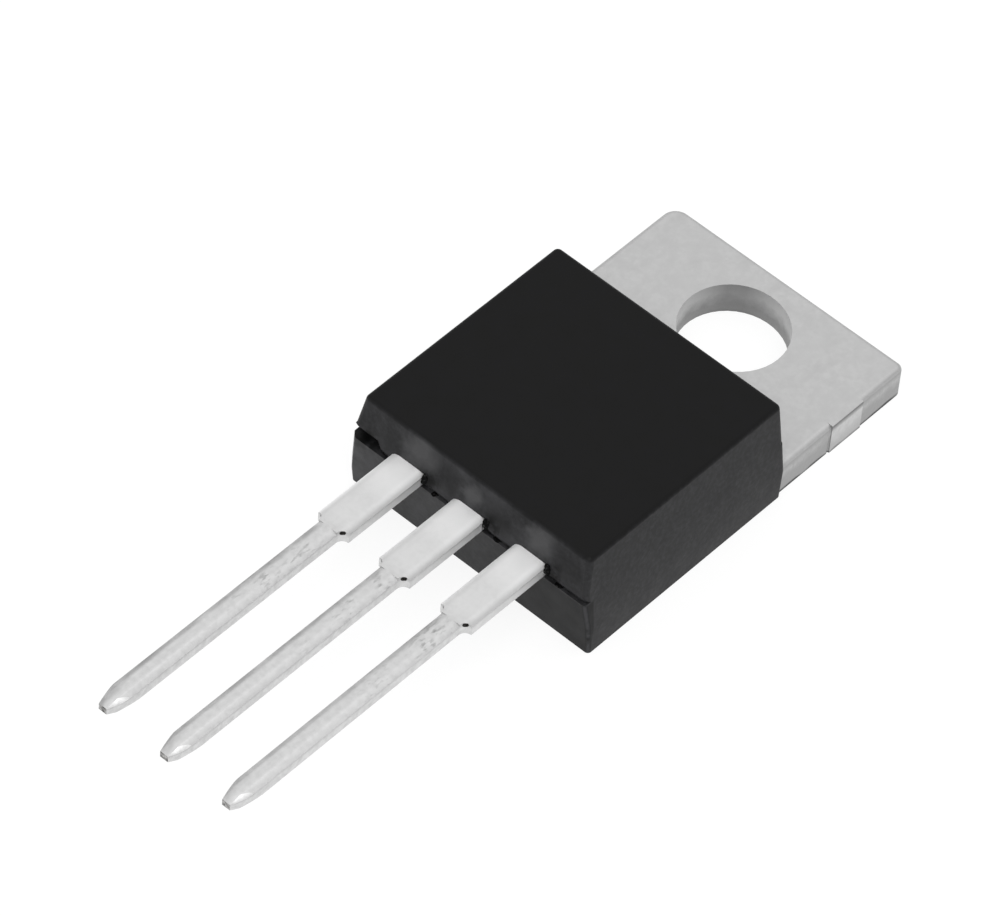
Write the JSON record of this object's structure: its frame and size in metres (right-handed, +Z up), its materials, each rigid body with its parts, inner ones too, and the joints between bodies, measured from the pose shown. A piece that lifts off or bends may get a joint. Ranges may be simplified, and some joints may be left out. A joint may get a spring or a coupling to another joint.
{
  "type": "n-channel mosfet",
  "caption": "Power transistor in a flat moulded package, with a drilled metal heat-sink tab and straight flat leads for soldering through a board.",
  "frame": {"origin": "centre of the tab's hole, on the flat metal back of the package", "axes": "+X across the package, from the gate lead to the source lead; +Y along it, from the leads to the tab's free end; +Z up from the metal back to the moulded top"},
  "size_m": [0.01, 0.0287, 0.0042],
  "materials": {
    "mould_compound": "matte moulded, fine spark-eroded grain",
    "plated_tab": "matte electroplated over punched copper",
    "tinned_lead": "bright matte tin over punched copper",
    "soft_solder": "dull solder",
    "silicon": "polished wafer with aluminium pads",
    "bond_wire": "drawn, pressed flat at its feet"
  },
  "bodies": {
    "root": {"moulded_body": "mould_compound", "heat_sink_tab": "plated_tab", "gate_lead": "tinned_lead", "source_lead": "tinned_lead", "die_attach_solder": "soft_solder", "silicon_die": "silicon", "gate_wire": "bond_wire", "source_wire_inner": "bond_wire", "source_wire_outer": "bond_wire"}
  },
  "joints": []
}
